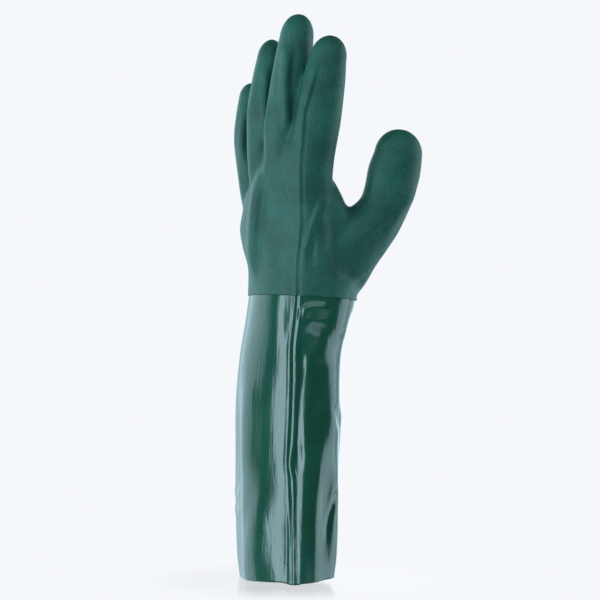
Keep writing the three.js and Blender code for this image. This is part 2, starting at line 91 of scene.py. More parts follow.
def smoothstep(low: float, high: float, values: Array) -> Array:
    """Rises smoothly from 0 at low to 1 at high.

    Args:
        low: value where the rise starts.
        high: value where it ends.
        values: the values to grade.

    Returns:
        One grade from 0 to 1 for each value.
    """
    share = np.clip((values - low) / (high - low), 0, 1)
    return share * share * (3 - 2 * share)


def bump_shape(share: Array) -> Array:
    """A round hill: 1 in the middle and 0 from a share of 1 on."""
    return HALF + HALF * np.cos(np.pi * np.clip(share, 0, 1))


def unit(vectors: Array) -> Array:
    """Vectors of length 1 in the same directions."""
    return vectors / np.linalg.norm(vectors, axis=-1, keepdims=True)


def around(count: int) -> Array:
    """Angles of evenly spaced points round a ring, in radians."""
    return np.linspace(0, 2 * np.pi, count, endpoint=False)


def wrapped(degrees: Array) -> Array:
    """The same angles, from half a turn back to half a turn on."""
    return (degrees + HALF_TURN) % (2 * HALF_TURN) - HALF_TURN


def hermite(share: Array, start: Array, end: Array, leave: Array, arrive: Array) -> Array:
    """Blends two values with the slopes at which their curve leaves and arrives.

    Args:
        share: how far along the curve, from 0 to 1.
        start: values at 0.
        end: values at 1.
        leave: slopes at 0.
        arrive: slopes at 1.

    Returns:
        The values in between.
    """
    square, cube = share**2, share**3
    return (
        (2 * cube - 3 * square + 1) * start
        + (cube - 2 * square + share) * leave
        + (3 * square - 2 * cube) * end
        + (cube - square) * arrive
    )


def column(rows: Sequence[Any], name: str, places: Array, key: str | None = "along") -> Array:
    """Values of one column of a table, on a smooth curve through its rows.

    Args:
        rows: the table's rows.
        name: the column to read.
        places: where to read it.
        key: the column that places count in, or None where they count rows.

    Returns:
        One value for each place.
    """
    keys = np.array([getattr(row, key) if key else i for i, row in enumerate(rows)], float)
    values = np.array([getattr(row, name) for row in rows], float)
    last = len(rows) - 1
    after = np.minimum(np.arange(last + 1) + 1, last)
    before = np.maximum(np.arange(last + 1) - 1, 0)
    slopes = (values[after] - values[before]) / (keys[after] - keys[before])
    end = np.clip(np.searchsorted(keys, places), 1, last)
    start = end - 1
    width = keys[end] - keys[start]
    share = np.clip((places - keys[start]) / width, 0, 1)
    return hermite(share, values[start], values[end], slopes[start] * width, slopes[end] * width)


def value_at(rows: Sequence[Any], name: str, place: float) -> float:
    """One value of a table's column, at one place along it."""
    return float(column(rows, name, np.array([place]))[0])


class SmoothLine:
    """A smooth line through a few points, which rounds its bends without overshooting them."""

    SAMPLES_PER_SPAN = 24
    SLOPE_STEP = 1e-3

    def __init__(self, points: Sequence[Sequence[float]] | Array) -> None:
        """Keeps the points, with one more beyond each end.

        Args:
            points: the points that the line runs through.
        """
        given = np.array(points, float)
        self.count = len(given)
        self.points = np.vstack([2 * given[0] - given[1], given, 2 * given[-1] - given[-2]])

    def at(self, places: Array) -> tuple[Array, Array]:
        """Points and unit directions of the line.

        Args:
            places: where, counted in points from the first one.

        Returns:
            The points, and the directions that the line runs in there.
        """
        span = np.clip(np.floor(places).astype(int), 0, self.count - 2)
        share = (places - span)[:, None]
        p0, p1, p2, p3 = (self.points[span + i] for i in range(4))
        d0, d1, d2 = (
            np.sqrt(np.linalg.norm(b - a, axis=1, keepdims=True))
            for a, b in ((p0, p1), (p1, p2), (p2, p3))
        )
        leave = ((p1 - p0) / d0 - (p2 - p0) / (d0 + d1) + (p2 - p1) / d1) * d1
        arrive = ((p2 - p1) / d1 - (p3 - p1) / (d1 + d2) + (p3 - p2) / d2) * d1
        point = hermite(share, p1, p2, leave, arrive)
        ahead = hermite(share + self.SLOPE_STEP, p1, p2, leave, arrive)
        behind = hermite(share - self.SLOPE_STEP, p1, p2, leave, arrive)
        return point, unit(ahead - behind)

    def at_length(self, shares: Array) -> tuple[Array, Array]:
        """Points and unit directions at shares of the line's length.

        Args:
            shares: how far along, from 0 to 1.

        Returns:
            The points, and the directions that the line runs in there.
        """
        places = np.linspace(0, self.count - 1, self.SAMPLES_PER_SPAN * (self.count - 1) + 1)
        points, _ = self.at(places)
        run = np.concatenate([[0], np.cumsum(np.linalg.norm(np.diff(points, axis=0), axis=1))])
        return self.at(np.interp(shares * run[-1], run, places))


@dataclass(frozen=True)
class Fold:
    """A soft ridge or groove, drawn as it is seen from one side.

    line holds points across the view and up from the mouth, from the top down. height is how far the
    fold stands out, or in where negative. left and right are its widths on either side as the viewer
    sees it. fade holds the shares of its length over which it rises at its start and its end.
    """

    line: tuple[tuple[float, float], ...]
    height: float
    left: float
    right: float
    side: Facing = Facing.THUMB_BACK
    fade: tuple[float, float] = (0.3, 0.3)

    STEPS = 40
    TURNED_AWAY = 0.35

    def offsets(self, points: Array, normals: Array) -> Array:
        """How far the fold moves each point of a surface out.

        Args:
            points: the surface's points.
            normals: its unit normals there.

        Returns:
            One distance for each point.
        """
        right, towards = self.side.axes()
        flat = np.stack([points @ right, points @ UP], axis=1)
        line, _ = SmoothLine(self.line).at_length(np.linspace(0, 1, self.STEPS))
        reach = max(self.left, self.right)
        low, high = line.min(axis=0) - reach, line.max(axis=0) + reach
        seen = (normals @ towards > 0) & (flat > low).all(axis=1) & (flat < high).all(axis=1)
        out = np.zeros(len(points))
        if not seen.any():
            return out
        spans = np.diff(line, axis=0)
        from_start = flat[seen][:, None] - line[None, :-1]
        lengths = (spans**2).sum(axis=1)
        shares = np.clip((from_start * spans).sum(axis=2) / lengths, 0, 1)
        gaps = from_start - shares[..., None] * spans
        distances = np.linalg.norm(gaps, axis=2)
        nearest = distances.argmin(axis=1)
        rows = np.arange(len(nearest))
        span, start = spans[nearest], from_start[rows, nearest]
        to_left = start[:, 0] * span[:, 1] - start[:, 1] * span[:, 0]
        width = np.where(to_left > 0, self.left, self.right)
        run = (nearest + shares[rows, nearest]) / len(spans)
        shape = bump_shape(distances[rows, nearest] / width)
        for rise, away in zip(self.fade, (run, 1 - run)):
            shape = shape * (smoothstep(0, rise, away) if rise else 1)
        facing = smoothstep(0, self.TURNED_AWAY, normals[seen] @ towards)
        out[seen] = self.height * shape * facing
        return out


def relief(points: Array, normals: Array, folds: Sequence[Fold]) -> Array:
    """The sum of all folds' offsets at each point."""
    return sum((fold.offsets(points, normals) for fold in folds), np.zeros(len(points)))


class Surface:
    """Points and four-cornered faces in millimetres, with what smooths and dents them."""

    CORNERS = 4
    SMOOTH = 0.5
    SWELL_BACK = -0.52
    FILL = 0.5
    WEAR = 0.08
    SHORTEST = 1e-12

    def __init__(self, points: Array, faces: Array) -> None:
        """Keeps the points and faces, and finds the edges.

        Args:
            points: one row for each point.
            faces: the four corners of each face.
        """
        self.points = np.asarray(points, float)
        self.faces = faces
        self.edges = self._edges()

    def _edges(self) -> Array:
        """Finds each pair of neighbouring points, once.

        Returns:
            The pairs, one in each row.
        """
        pairs = np.concatenate(
            [self.faces[:, [i, (i + 1) % self.CORNERS]] for i in range(self.CORNERS)])
        return np.unique(np.sort(pairs, axis=1), axis=0)

    def _gather(self, where: Array, values: Array) -> Array:
        """Adds up rows of values at the points that they belong to."""
        count = len(self.points)
        return np.stack([np.bincount(where, column, count) for column in values.T], axis=1)

    def neighbour_means(self) -> Array:
        """Averages each point's neighbours.

        Returns:
            Their mean place, one for each point.
        """
        ends = np.concatenate([self.edges, self.edges[:, ::-1]])
        total = self._gather(ends[:, 0], self.points[ends[:, 1]])
        return total / np.bincount(ends[:, 0], minlength=len(self.points))[:, None]

    def normals(self) -> Array:
        """Works out the way that the surface faces, from its faces' diagonals.

        Returns:
            Unit normals at the points.
        """
        a, b, c, d = (self.points[self.faces[:, i]] for i in range(self.CORNERS))
        face = np.cross(c - a, d - b)
        total = self._gather(self.faces.ravel(), np.repeat(face, self.CORNERS, axis=0))
        return total / np.maximum(np.linalg.norm(total, axis=1, keepdims=True), self.SHORTEST)

    def relax(self, rounds: int) -> None:
        """Evens the surface out without shrinking it.

        Args:
            rounds: how many times it is smoothed and swelled back.
        """
        for _ in range(rounds):
            for share in (self.SMOOTH, self.SWELL_BACK):
                self.points = self.points + share * (self.neighbour_means() - self.points)

    def fill_hollows(self, rounds: int, where: Array) -> None:
        """Rounds sharp inner corners, as a thick dip does, and leaves the rest alone.

        Args:
            rounds: how many times the corners are filled a little.
            where: a share from 0 to 1 of the filling for each point.
        """
        for _ in range(rounds):
            pull = self.neighbour_means() - self.points
            inward = np.einsum("ij,ij->i", pull, self.normals())
            share = np.where(inward > 0, self.FILL, self.WEAR) * where
            self.points = self.points + share[:, None] * pull

    def press(self, folds: Sequence[Fold]) -> None:
        """Moves the points along their normals by the folds."""
        normals = self.normals()
        self.points = self.points + relief(self.points, normals, folds)[:, None] * normals


def ring_faces(rings: int, sides: int, closed: bool) -> list[list[int]]:
    """Four-cornered faces over rings of equally many points.

    Args:
        rings: how many rings there are.
        sides: points in each ring.
        closed: whether the last ring joins the first.

    Returns:
        The corners of each face.
    """
    faces = []
    for ring in range(rings if closed else rings - 1):
        low, high = ring * sides, (ring + 1) % rings * sides
        for side in range(sides):
            after = (side + 1) % sides
            faces.append([low + side, low + after, high + after, high + side])
    return faces


def closed_shell(rings: Array) -> tuple[Array, list[list[int]]]:
    """Closes a body over its rings, with a flat face over each end.

    Args:
        rings: the points, by ring and place in the ring.

    Returns:
        The body's points, and the corners of its faces.
    """
    count, sides = rings.shape[:2]
    faces = ring_faces(count, sides, closed=False)
    faces.append(list(range(sides))[::-1])
    faces.append(list(range((count - 1) * sides, count * sides)))
    return rings.reshape(-1, 3), faces


def new_mesh(name: str, points: Array, faces: Sequence[Sequence[int]]) -> bpy.types.Mesh:
    """Makes a Blender mesh in metres.

    Args:
        name: the mesh's name.
        points: its points in millimetres.
        faces: the corners of each face.

    Returns:
        The mesh.
    """
    mesh = bpy.data.meshes.new(name)
    mesh.from_pydata((np.asarray(points) * MM).tolist(), [], [list(map(int, f)) for f in faces])
    mesh.update()
    return mesh


def new_object(name: str, mesh: bpy.types.Mesh) -> bpy.types.Object:
    """Puts a mesh into the scene, shaded smooth.

    Args:
        name: the object's name.
        mesh: its mesh.

    Returns:
        The object.
    """
    made = bpy.data.objects.new(name, mesh)
    bpy.context.scene.collection.objects.link(made)
    mesh.shade_smooth()
    return made


def fused(name: str, shells: Sequence[tuple[Array, list[list[int]]]], voxel: float) -> Surface:
    """One even skin over overlapping closed bodies.

    Args:
        name: what the working object is called.
        shells: the points and faces of each body.
        voxel: the size of the new skin's faces.

    Returns:
        The outer skin, in four-cornered faces.
    """
    points, faces, start = [], [], 0
    for shell_points, shell_faces in shells:
        points.append(shell_points)
        faces += [[corner + start for corner in face] for face in shell_faces]
        start += len(shell_points)
    made = new_object(name, new_mesh(name, np.concatenate(points), faces))
    remesh = made.modifiers.new("skin", "REMESH")
    remesh.mode = "VOXEL"
    remesh.voxel_size = voxel * MM
    shown = made.evaluated_get(bpy.context.evaluated_depsgraph_get()).to_mesh()
    flat = np.empty(len(shown.vertices) * 3, np.float32)
    shown.vertices.foreach_get("co", flat)
    corners = np.empty(len(shown.loops), np.int32)
    shown.loops.foreach_get("vertex_index", corners)
    bpy.data.objects.remove(made)
    return Surface(flat.reshape(-1, 3) / MM, corners.reshape(-1, 4))


@dataclass(frozen=True)
class PalmRow:
    """One section of the palm, in shares of the palm's sizes."""

    along: float
    across: float
    back: float
    width: float
    depth: float
    arch: float
    drop: float


@dataclass(frozen=True)
class Finger:
    """One finger: its foot in shares of the palm's sizes, then its own sizes and angles."""

    name: str
    across: float
    forward: float
    rise: float
    length: float
    width: float
    depth: float
    turn: float
    spread: float
    lean: float
    bends: tuple[float, float]
    taper: float


@dataclass(frozen=True)
class GirthRow:
    """A finger's thickness at a share of its length."""

    along: float
    girth: float


@dataclass(frozen=True)
class ThumbRow:
    """One section of the thumb, in shares of its sizes."""

    across: float
    forward: float
    along: float
    broad: float
    narrow: float


@dataclass(frozen=True)
class WebRow:
    """One upright section of the web between thumb and palm, in shares of the thumb's sizes."""

    across: float
    forward: float
    low: float
    high: float
    thick: float


@dataclass(frozen=True)
class Wrist:
    """The glove's section at the dip line, outside the hand coat, and how the line slopes there."""

    width: float = 96.0
    depth: float = 66.0
    across: float = 6.0
    forward: float = 8.5
    height: float = 194.0
    rise: float = 5.0
    step: float = 0.9

    def lift(self, y: Array) -> Array:
        """How far the dip line's slope lifts points at a place from back to palm."""
        return self.rise * (self.forward + self.depth * HALF - y) / self.depth

    def ring(self, angles: Array, inset: float, height: float) -> Array:
        """Draws an oval ring along the dip line.

        Args:
            angles: where its points lie round the wrist, in radians.
            inset: how far inside the coat it lies.
            height: how far above the dip line.

        Returns:
            The ring's points.
        """
        x = self.across + (self.width * HALF - inset) * np.cos(angles)
        y = self.forward + (self.depth * HALF - inset) * np.sin(angles)
        return np.stack([x, y, self.height + self.lift(y) + height], axis=1)


def tube_rings(
    centres: Array, directions: Array, turn: float, broad: Array, narrow: Array, sides: int
) -> Array:
    """Rings of an oval tube, square to its centre line.

    Args:
        centres: the rings' centres.
        directions: the centre line's unit directions there.
        turn: degrees that the broad way is turned towards the palm.
        broad: half widths.
        narrow: half depths.
        sides: points in each ring.

    Returns:
        The rings' points.
    """
    aside = np.array([math.cos(math.radians(turn)), math.sin(math.radians(turn)), 0.0])
    across = unit(aside - directions * (directions @ aside)[:, None])
    forward = np.cross(directions, across)
    angles = around(sides)
    wide = across[:, None] * (broad[:, None] * np.cos(angles))[..., None]
    deep = forward[:, None] * (narrow[:, None] * np.sin(angles))[..., None]
    return centres[:, None] + wide + deep


def dome_rings(
    centre: Array, direction: Array, turn: float, broad: float, narrow: float, height: float,
    sides: int,
) -> Array:
    """Rings of a round end that closes an oval tube.

    Args:
        centre: the tube's last centre.
        direction: its unit direction there.
        turn: degrees that the broad way is turned towards the palm.
        broad: half width of the tube's end.
        narrow: half depth of it.
        height: how far the dome stands out.
        sides: points in each ring.

    Returns:
        The rings' points, without the ring that the tube ends in.
    """
    angles = np.linspace(0, np.pi * HALF, DOME_STEPS)[1:-1]
    centres = centre + direction * (height * np.sin(angles))[:, None]
    directions = np.repeat(direction[None], len(angles), axis=0)
    shrink = np.cos(angles)
    return tube_rings(centres, directions, turn, broad * shrink, narrow * shrink, sides)


PALM_ROWS = (
    PalmRow(0.09, 0.070, -0.72, 1.045, 1.73, 0.0, 0.00),
    PalmRow(0.20, 0.050, -0.40, 1.010, 1.48, 0.2, 0.02),
    PalmRow(0.32, 0.015, 0.05, 1.030, 1.24, 0.4, 0.06),
    PalmRow(0.46, 0.000, 0.45, 1.045, 1.04, 0.6, 0.14),
    PalmRow(0.62, 0.005, 0.70, 0.990, 0.86, 0.9, 0.33),
    PalmRow(0.78, 0.000, 0.85, 0.970, 0.67, 1.0, 0.62),
    PalmRow(0.91, 0.000, 0.95, 0.930, 0.50, 1.0, 0.90),
    PalmRow(1.00, 0.000, 1.00, 0.850, 0.30, 1.0, 1.00),
)
FINGERS = (
    Finger("index", 0.392, -0.140, 0.691, 99.5, 32.0, 23.0, 50.0, 4.0, 6.8, (1, 3), 0.14),
    Finger("middle", 0.130, -0.330, 0.786, 104.7, 28.0, 25.0, 15.0, 1.2, 5.5, (4, -1), 0.0),
    Finger("ring", -0.130, -0.330, 0.769, 91.5, 23.5, 21.5, 0.0, -1.6, 1.0, (10, -1), 0.04),
    Finger("little", -0.382, -0.170, 0.691, 72.0, 21.0, 19.0, 0.0, -4.0, -4.0, (12, 0), 0.0),
)
GIRTH_ROWS = (
    GirthRow(-0.42, 0.72),
    GirthRow(-0.16, 0.92),
    GirthRow(0.00, 0.97),
    GirthRow(0.22, 0.99),
    GirthRow(0.45, 1.02),
    GirthRow(0.70, 0.99),
    GirthRow(0.84, 0.89),
)
THUMB_ROWS = (
    ThumbRow(0.330, 0.22, 0.12, 1.56, 1.62),
    ThumbRow(0.520, 0.34, 0.22, 1.47, 1.58),
    ThumbRow(0.650, 0.45, 0.31, 1.32, 1.46),
    ThumbRow(0.760, 0.61, 0.40, 1.15, 1.30),
    ThumbRow(0.820, 0.74, 0.47, 1.03, 1.16),
    ThumbRow(0.860, 0.83, 0.54, 0.96, 1.08),
    ThumbRow(0.905, 0.89, 0.63, 0.98, 1.00),
    ThumbRow(0.945, 0.94, 0.75, 1.02, 1.00),
    ThumbRow(0.975, 0.98, 0.85, 0.94, 0.93),
)
WEB_ROWS = (
    WebRow(0.500, -0.08, 0.36, 0.760, 1.10),
    WebRow(0.580, 0.04, 0.34, 0.760, 1.10),
    WebRow(0.640, 0.18, 0.33, 0.720, 1.06),
    WebRow(0.672, 0.29, 0.33, 0.640, 1.03),
    WebRow(0.690, 0.38, 0.34, 0.560, 1.00),
    WebRow(0.710, 0.46, 0.35, 0.548, 0.96),
    WebRow(0.735, 0.56, 0.38, 0.565, 0.90),
    WebRow(0.770, 0.67, 0.42, 0.600, 0.80),
)
WRIST_FOLDS = (
    Fold(((-4, 225), (-5.5, 198), (-7, 176), (-13, 150)), 1.1, 26, 11, fade=(0.3, 0.4)),
)
HAND_FOLDS = (
    Fold(((-13, 300), (-20, 272), (-23, 248), (-24.5, 202)), 3.4, 7, 5),
    Fold(((-10, 285), (-17, 262), (-19, 235), (-18, 205)), -1, 5, 10),
    Fold(((3, 312), (1, 292), (-4, 276), (-12, 258)), 1.2, 10, 7),
    Fold(((30, 278), (20.5, 254), (12.5, 229), (10.5, 208)), 1.8, 3.6, 7),
    Fold(((33.5, 273), (26.5, 256), (23, 240), (22, 212)), 1.3, 5, 8),
    Fold(((74, 255), (60, 245), (49, 236)), 1.1, 6, 6),
    Fold(((93, 278), (83, 260), (73, 245), (66, 231)), 1.2, 6, 4),
    Fold(((66, 226), (54, 217.5), (45, 206), (39, 196)), 1.1, 7, 5),
    Fold(((-15, 262), (-9, 257), (-2, 254)), -1.1, 3.5, 4, Facing.LITTLE_BACK),
    Fold(((2, 375), (-0.5, 348), (-0.5, 336), (0.5, 322), (3, 306)), 2.6, 7, 4.6, fade=(0.18, 0.3)),
    Fold(((-12.5, 364), (-14.6, 352), (-15.4, 336), (-15.1, 324), (-16, 300)),
         2.1, 6, 4.5, fade=(0.2, 0.3)),
    Fold(((-28, 336), (-31, 322), (-32, 308), (-31.5, 290)), 1.6, 4.5, 3.5),
    Fold(((22.5, 364), (18.6, 352), (14.6, 337), (10.8, 323), (10, 309), (9, 290)),
         1.2, 6, 4.5, fade=(0.2, 0.4)),
)
SEAM_LINE = (
    (24.5, 368), (20.9, 352.3), (16.8, 337.1), (12.9, 323.3), (11.8, 309.5), (10.4, 293),
    (10.2, 265), (10.6, 250), (9.6, 236), (7.8, 217.8), (7.4, 188),
)
SEAM_RIB_LEFT, SEAM_GROOVE_RIGHT = 1.2, 0.9
SEAM_FOLDS = (
    Fold(tuple((x - SEAM_RIB_LEFT, z) for x, z in SEAM_LINE), 0.38, 3, 1.4, fade=(0.18, 0)),
    Fold(tuple((x + SEAM_GROOVE_RIGHT, z) for x, z in SEAM_LINE), -0.22, 1.3, 2.6, fade=(0.15, 0)),
)


@dataclass
class HandCoat:
    """The matte second coat: palm, fingers, thumb and web in one hollow shell.

    skirt holds the heights of the rings below the dip line. rim holds how far in and up each step of
    the turned-in edge goes. crook is the corner under the thumb, across the view and up.
    """

    wrist: Wrist
    name: str = "hand_coat_dressed"
    wall: float = 2.3
    palm_length: float = 125.0
    palm_width: float = 92.0
    palm_depth: float = 38.0
    palm_arch: float = 7.0
    knuckle_drop: float = 53.0
    knuckle_level: float = 0.52
    knuckle_back: float = 12.0
    middle_joint: float = 0.42
    end_joint: float = 0.70
    root_sink: float = 0.20
    thumb_reach: float = 61.0
    thumb_forward: float = 54.5
    thumb_length: float = 120.5
    thumb_width: float = 36.0
    thumb_depth: float = 26.0
    thumb_turn: float = 55.0
    web_thickness: float = 22.0
    web_taper: float = 0.2
    lap: float = 9.0
    skirt: tuple[float, ...] = (-12.0, -7.0, -2.0)
    rim: tuple[tuple[float, float], ...] = ((0.3, -0.25), (0.35, 0.0), (0.1, 0.4), (0.05, 8.6))
    sides: int = 72
    palm_steps: int = 44
    finger_steps: int = 40
    thumb_steps: int = 48
    web_steps: int = 36
    skin: float = 1.1
    skin_rounds: int = 3
    last_rounds: int = 2
    lining_skin: float = 2.4
    lining_rounds: int = 2
    fill_rounds: int = 22
    fill_from: float = 2.0
    fill_full: float = 14.0
    crook: tuple[float, float] = (50.0, 212.0)
    crook_near: float = 14.0
    crook_far: float = 30.0
    crook_rounds: int = 70
    seam_reach: float = 7.04
    seam_top: float = 374.0
    seam_facing: float = 0.2
    seam_samples: int = 60

    def palm_rings(self, inset: float) -> Array:
        """The palm's rings from below the dip line to the knuckles.

        Args:
            inset: how far the rings are drawn in.

        Returns:
            The rings' points.
        """
        angles = around(self.sides)
        rings = [self.wrist.ring(angles, inset, height) for height in self.skirt]
        names = ("across", "back", "width", "depth", "arch", "drop")
        for along in np.linspace(PALM_ROWS[0].along, PALM_ROWS[-1].along, self.palm_steps):
            value = {name: value_at(PALM_ROWS, name, along) for name in names}
            lean = np.cos(angles)
            x = value["across"] * self.palm_width
            x = x + (value["width"] * self.palm_width * HALF - inset) * lean
            y = -value["back"] * self.knuckle_back + value["arch"] * self.palm_arch * lean**2
            y = y + (value["depth"] * self.palm_depth * HALF - inset) * np.sin(angles)
            drop = value["drop"]
            fall = drop * self.knuckle_drop * np.maximum(0, self.knuckle_level - lean)
            z = self.wrist.height + along * self.palm_length - inset * drop
            z = z - fall / (1 + self.knuckle_level)
            rings.append(np.stack([x, y, z], axis=1))
        return np.array(rings)

    def finger_line(self, finger: Finger) -> tuple[SmoothLine, float]:
        """Draws a finger's centre line from its root in the palm.

        Args:
            finger: the finger.

        Returns:
            The line, and how far its root lies below the finger's foot.
        """
        foot = np.array([
            finger.across * self.palm_width,
            finger.forward * self.palm_depth,
            self.wrist.height + finger.rise * self.palm_length,
        ])
        bent = finger.lean + finger.bends[0]
        leans = (finger.lean, bent, bent + finger.bends[1])
        stretches = (self.middle_joint, self.end_joint - self.middle_joint, 1 - self.end_joint)
        points = [foot]
        for lean, stretch in zip(leans, stretches):
            slopes = (math.tan(math.radians(finger.spread)), math.tan(math.radians(lean)), 1)
            step = np.array(slopes) / np.linalg.norm(slopes)
            points.append(points[-1] + step * stretch * finger.length)
        drop = -GIRTH_ROWS[0].along * finger.length
        root = foot - UP * drop + np.array([0.0, self.root_sink * finger.depth, 0.0])
        return SmoothLine([root, *points]), drop

    def finger_rings(self, finger: Finger, inset: float) -> Array:
        """One finger's rings from its root in the palm to its round tip.

        Args:
            finger: the finger.
            inset: how far the rings are drawn in.

        Returns:
            The rings' points.
        """
        line, drop = self.finger_line(finger)
        alongs = np.linspace(GIRTH_ROWS[0].along, GIRTH_ROWS[-1].along, self.finger_steps)
        centres, directions = line.at_length(
            (alongs * finger.length + drop) / (drop + finger.length))
        girth = column(GIRTH_ROWS, "girth", alongs) * HALF
        girth = girth * (1 - finger.taper * np.maximum(alongs, 0) ** 2)
        broad, narrow = finger.width * girth - inset, finger.depth * girth - inset
        tube = tube_rings(centres, directions, finger.turn, broad, narrow, self.sides)
        _, ends = line.at_length(np.array([1.0]))
        height = (1 - alongs[-1]) * finger.length - inset
        dome = dome_rings(
            centres[-1], ends[0], finger.turn, broad[-1], narrow[-1], height, self.sides)
        return np.concatenate([tube, dome])

    def thumb_rings(self, inset: float) -> Array:
        """The thumb's rings from inside the palm to its round tip.

        Args:
            inset: how far the rings are drawn in.

        Returns:
            The rings' points.
        """
        sizes = np.array([self.thumb_reach, self.thumb_forward, self.thumb_length])
        rows = [(row.across, row.forward, row.along) for row in THUMB_ROWS]
        points = np.array([*rows, (1, 1, 1)]) * sizes + UP * self.wrist.height
        places = np.linspace(0, len(rows) - 1, self.thumb_steps)
        centres, directions = SmoothLine(points).at(places)
        broad = column(THUMB_ROWS, "broad", places, None) * self.thumb_width * HALF - inset
        narrow = column(THUMB_ROWS, "narrow", places, None) * self.thumb_depth * HALF - inset
        tube = tube_rings(centres, directions, self.thumb_turn, broad, narrow, self.sides)
        axis = points[-1] - points[-2]
        length = np.linalg.norm(axis)
        dome = dome_rings(
            centres[-1], axis / length, self.thumb_turn, broad[-1], narrow[-1], length - inset,
            self.sides)
        return np.concatenate([tube, dome])

    def web_rings(self, inset: float) -> Array:
        """The web's upright rings, slimmer towards the top.

        Args:
            inset: how far the rings are drawn in.

        Returns:
            The rings' points.
        """
        places = np.linspace(0, len(WEB_ROWS) - 1, self.web_steps)
        row = {n: column(WEB_ROWS, n, places, None) for n in (
            "across", "forward", "low", "high", "thick")}
        height = self.wrist.height + (row["low"] + row["high"]) * HALF * self.thumb_length
        middle = np.stack([
            row["across"] * self.thumb_reach, row["forward"] * self.thumb_forward, height], axis=1)
        aside = np.cross(UP, unit((middle[-1] - middle[0]) * LEVEL))
        tall = (row["high"] - row["low"]) * HALF * self.thumb_length - inset
        thick = row["thick"] * self.web_thickness * HALF - inset
        angles = around(self.sides)
        narrowing = np.cos(angles) * (1 - self.web_taper * np.sin(angles))
        return (
            middle[:, None]
            + aside * (thick[:, None] * narrowing)[..., None]
            + UP * (tall[:, None] * np.sin(angles))[..., None]
        )

    def shells(self, inset: float) -> list[tuple[Array, list[list[int]]]]:
        """Palm, thumb, web and fingers as closed bodies that overlap.

        Args:
            inset: how far inside the coat's outside they lie.

        Returns:
            The points and faces of each.
        """
        rings = [self.palm_rings(inset), self.thumb_rings(inset), self.web_rings(inset)]
        for finger in FINGERS:
            log.info("%s finger, %.1f mm inside the coat", finger.name, inset)
            rings.append(self.finger_rings(finger, inset))
        return [closed_shell(ring) for ring in rings]

    def outside(self) -> Surface:
        """Makes the coat's outer skin, with filled corners and pressed folds.

        Returns:
            The skin, which is still closed under the wrist.
        """
        skin = fused("hand_blank", self.shells(0.0), self.skin)
        above = skin.points[:, 2] - self.wrist.height
        skin.relax(self.skin_rounds)
        clear = smoothstep(self.fill_from, self.fill_full, above)
        skin.fill_hollows(self.fill_rounds, clear)
        right, _ = Facing.THUMB_BACK.axes()
        away = np.hypot(skin.points @ right - self.crook[0], skin.points[:, 2] - self.crook[1])
        crook = 1 - smoothstep(self.crook_near, self.crook_far, away)
        skin.fill_hollows(self.crook_rounds, clear * crook)
        skin.press(WRIST_FOLDS + HAND_FOLDS)
        skin.relax(self.last_rounds)
        return skin

    def dip_plane(self, above: float) -> tuple[Vector, Vector]:
        """A point and the normal of the plane of the dip line, moved up by a distance."""
        height = self.wrist.height + float(self.wrist.lift(np.array(0.0))) + above
        return Vector((0, 0, height * MM)), Vector((0, self.wrist.rise / self.wrist.depth, 1))

    def open_shell(self, skin: Surface, above: float) -> bmesh.types.BMesh:
        """Cuts a skin open along the dip line.

        Args:
            skin: the closed skin.
            above: how far above the line the cut lies.

        Returns:
            What is left over the cut.
        """
        shell = bmesh.new()
        shell.from_mesh(new_mesh("shell", skin.points, skin.faces))
        point, normal = self.dip_plane(above)
        everything = [*shell.verts, *shell.edges, *shell.faces]
        bmesh.ops.bisect_plane(
            shell, geom=everything, plane_co=point, plane_no=normal.normalized(),
            clear_inner=True)
        return shell

    def refine_seam(self, shell: bmesh.types.BMesh) -> None:
        """Gives the skin finer faces along the seam, so that its ridge is crisp.

        Args:
            shell: the coat's skin, which is changed.
        """
        right, towards = Facing.THUMB_BACK.axes()
        line, _ = SmoothLine(SEAM_LINE).at_length(np.linspace(0, 1, self.seam_samples))
        places, heights = line[::-1].T
        shell.normal_update()
        near = set()
        for vert in shell.verts:
            point = np.array(vert.co) / MM
            aside = abs(point @ right - np.interp(point[2], heights, places))
            if aside < self.seam_reach and point[2] < self.seam_top:
                if np.array(vert.normal) @ towards > self.seam_facing:
                    near.add(vert)
        edges = [e for e in shell.edges if e.verts[0] in near and e.verts[1] in near]
        bmesh.ops.subdivide_edges(shell, edges=edges, cuts=1, use_grid_fill=True)
        shell.normal_update()

    def raise_seam(self, shell: bmesh.types.BMesh) -> None:
        """Lifts the seam's ridge: two ribs near the dip line that run into one on the hand.

        Args:
            shell: the coat's skin, which is changed.
        """
        points = np.array([vert.co for vert in shell.verts]) / MM
        normals = np.array([vert.normal for vert in shell.verts])
        out = relief(points, normals, SEAM_FOLDS)
        for vert, move in zip(shell.verts, out * MM):
            if move:
                vert.co += vert.normal * move

    def build(self) -> bpy.types.Object:
        """Makes the coat as one closed shell with an opening at the wrist.

        Returns:
            The coat, with places for the finishes of its outside and its inside.
        """
        outer = self.open_shell(self.outside(), 0.0)
        self.refine_seam(outer)
        self.raise_seam(outer)
        inner_skin = fused("hand_lining", self.shells(self.wall), self.lining_skin)
        inner_skin.relax(self.lining_rounds)
        inner = self.open_shell(inner_skin, self.lap)
        bmesh.ops.reverse_faces(inner, faces=inner.faces[:])
        scratch = bpy.data.meshes.new("lining")
        inner.to_mesh(scratch)
        edge = [e for e in outer.edges if e.is_boundary]
        for inset, height in self.rim:
            edge = self.turn_in(outer, edge, inset, height)
        outside_faces = len(outer.faces)
        outer.from_mesh(scratch)
        rims = [e for e in outer.edges if e.is_boundary]
        bmesh.ops.bridge_loops(outer, edges=rims)
        mesh = bpy.data.meshes.new(self.name)
        outer.to_mesh(mesh)
        for number, face in enumerate(mesh.polygons):
            face.material_index = OUTSIDE if number < outside_faces else INSIDE
        return new_object(self.name, mesh)

